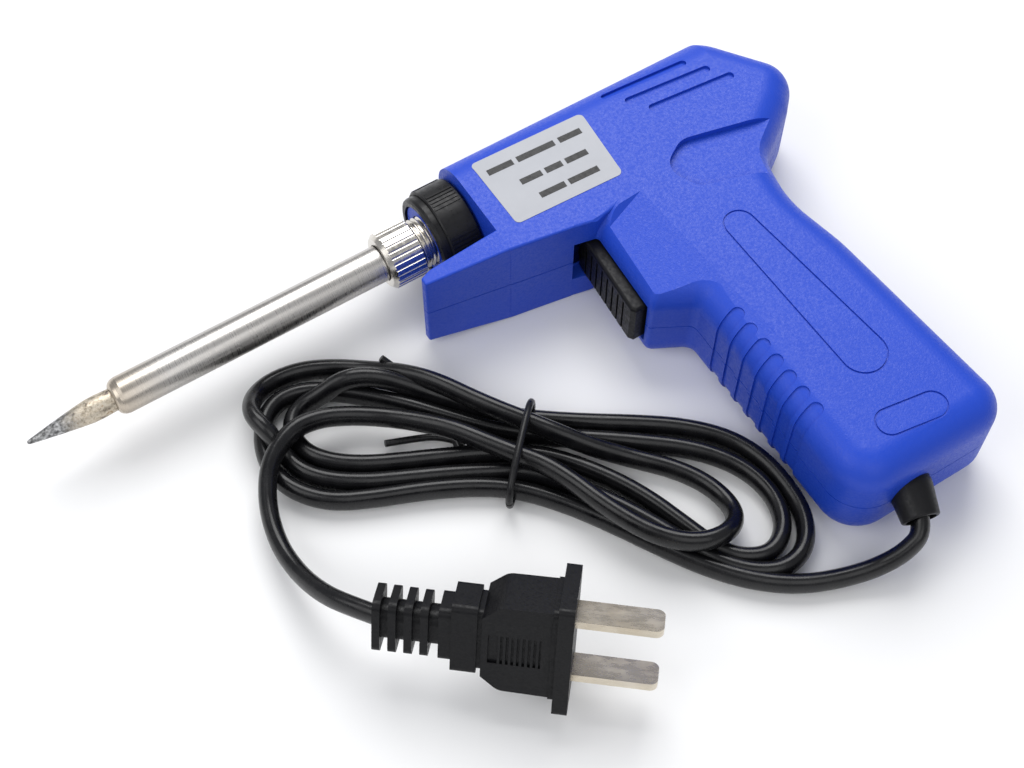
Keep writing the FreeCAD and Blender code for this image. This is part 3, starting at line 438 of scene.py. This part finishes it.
def mains_cord():
    route = TAIL + LEFT_2 + RIGHT_2 + LEFT_3 + RIGHT_3 + LEFT_1 + RIGHT_1 + OVER_ALL + LEAD
    curve = route_curve("mains_cord", 7)
    add_spline(curve, route)
    curve.bevel_mode = "OBJECT"
    curve.bevel_object = oval_profile("cord_section", CORD_WIDE, CORD_HIGH)
    piece = added("mains_cord", curve, "cord_sheath")
    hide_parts("cord_tail", "cord_hank", "cord_lead")
    return piece, route[0]


def tie_loop():
    """Points round the waist of the hank, low at the sides and arched over the top strands."""
    across = Vector((math.cos(TIE_TURN), math.sin(TIE_TURN)))
    low = TIE_WIRE / 2
    points = []
    for side, rise in TIE_LOOP:
        x, y = Vector(TIE_MIDDLE) + across * side * TIE_HALF
        points.append((x, y, low + rise * (TIE_TOP - 2 * low)))
    return points


def twist_tie():
    curve = route_curve("twist_tie", 8)
    add_spline(curve, tie_loop(), closed=True)
    for tail in TIE_TAILS:
        add_spline(curve, tail)
    curve.bevel_mode = "ROUND"
    curve.bevel_depth = TIE_WIRE / 2 * MM
    curve.bevel_resolution = 3
    piece = added("twist_tie", curve, "tie_black")
    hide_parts("cord_tie")
    return piece


def trigger_spring():
    """Coil spring behind the trigger, wound inside the box of the CAD spring."""
    low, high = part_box("trigger_spring")
    middle = (low + high) / 2
    wire = SPRING_WIRE / 2 * MM
    coil = (high.z - low.z) / 2 - wire
    steps = STEPS_PER_TURN * SPRING_TURNS
    curve = bpy.data.curves.new("spring_wire", "CURVE")
    curve.dimensions = "3D"
    curve.bevel_depth = wire
    curve.bevel_resolution = 2
    curve.use_fill_caps = True
    spline = curve.splines.new("POLY")
    spline.points.add(steps)
    for i, point in enumerate(spline.points):
        share = i / steps
        angle = 2 * math.pi * SPRING_TURNS * share
        x = low.x + wire + share * (high.x - low.x - 2 * wire)
        point.co = (x, middle.y + coil * math.cos(angle), middle.z + coil * math.sin(angle), 1)
    wound = bpy.data.objects.new("spring_wire", curve)
    data = bpy.data.meshes.new_from_object(wound)
    data.name = "spring_coil"
    bpy.data.objects.remove(wound)
    piece = added("spring_coil", data, "spring_steel")
    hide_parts("trigger_spring")
    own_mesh(piece)


def label_marks():
    """Three rows of plain bars on the label, in place of print."""
    low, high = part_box("rating_label")
    mesh = bmesh.new()
    for y, bars in LABEL_ROWS:
        for start, wide in bars:
            sizes = Matrix.Diagonal((wide * MM, BAR_TALL * MM, BAR_GAUGE * MM, 1))
            middle = Matrix.Translation(Vector((start + wide / 2, y, 0)) * MM)
            bmesh.ops.create_cube(mesh, size=1, matrix=middle @ sizes)
    data = bpy.data.meshes.new("label_marks")
    mesh.to_mesh(data)
    mesh.free()
    slant = Matrix.Rotation(LABEL_SLANT, 4, "Z")
    corner = Vector((low.x + LABEL_MARGIN * MM, 0, high.z + BAR_LIFT * MM))
    data.transform(Matrix.Translation(corner) @ slant)
    return added("label_marks", data, "tie_black")


# ---- studio -----------------------------------------------------------------------------
def camera():
    data = bpy.data.cameras.new("camera")
    data.lens = LENS_MM
    data.sensor_width = SENSOR_MM
    data.clip_start = 10 * MM
    eye = bpy.data.objects.new("camera", data)
    eye.location = CAMERA_AT
    eye.rotation_euler = (CAMERA_TARGET - CAMERA_AT).to_track_quat("-Z", "Y").to_euler()
    bpy.context.scene.collection.objects.link(eye)
    bpy.context.scene.camera = eye


def softbox(name, towards, distance, size, watts):
    """Square area light aimed at the middle of the object from the direction towards."""
    data = bpy.data.lights.new(name, "AREA")
    data.size = size
    data.energy = watts
    lamp = bpy.data.objects.new(name, data)
    aim = CAMERA_TARGET + Vector((0, 0, AIM_HEIGHT * MM))
    lamp.location = aim + Vector(towards).normalized() * distance
    lamp.rotation_euler = (aim - lamp.location).to_track_quat("-Z", "Y").to_euler()
    bpy.context.scene.collection.objects.link(lamp)


def studio():
    floor_mesh = bpy.data.meshes.new("floor")
    signs = [(-1, -1), (1, -1), (1, 1), (-1, 1)]
    corners = [(x * FLOOR_REACH, y * FLOOR_REACH, 0) for x, y in signs]
    floor_mesh.from_pydata(corners, [], [(0, 1, 2, 3)])
    floor = bpy.data.objects.new("floor", floor_mesh)
    floor.location.z = -FLOOR_DROP * MM
    bpy.context.scene.collection.objects.link(floor)
    paper = Finish("paper", (0.86, 0.86, 0.86), 0.8)
    tone = paper.spread(paper.noise(6, 2.0), 0, 1)
    paper.colour(paper.mix(tone, (0.85, 0.85, 0.85), (0.87, 0.87, 0.87)))
    floor_mesh.materials.append(paper.material)
    world = bpy.data.worlds.new("studio")
    world.use_nodes = True
    sky = next(n for n in world.node_tree.nodes if n.type == "BACKGROUND")
    sky.inputs["Color"].default_value = (0.93, 0.95, 1.0, 1)
    sky.inputs["Strength"].default_value = SKY_STRENGTH
    bpy.context.scene.world = world
    bpy.context.scene.view_settings.view_transform = "Standard"
    for setting in SOFTBOXES:
        softbox(*setting)


camera()
flex, boot_mouth = mains_cord()
tie = twist_tie()
finish_cad_nodes()
trigger_spring()
label_marks()
studio()
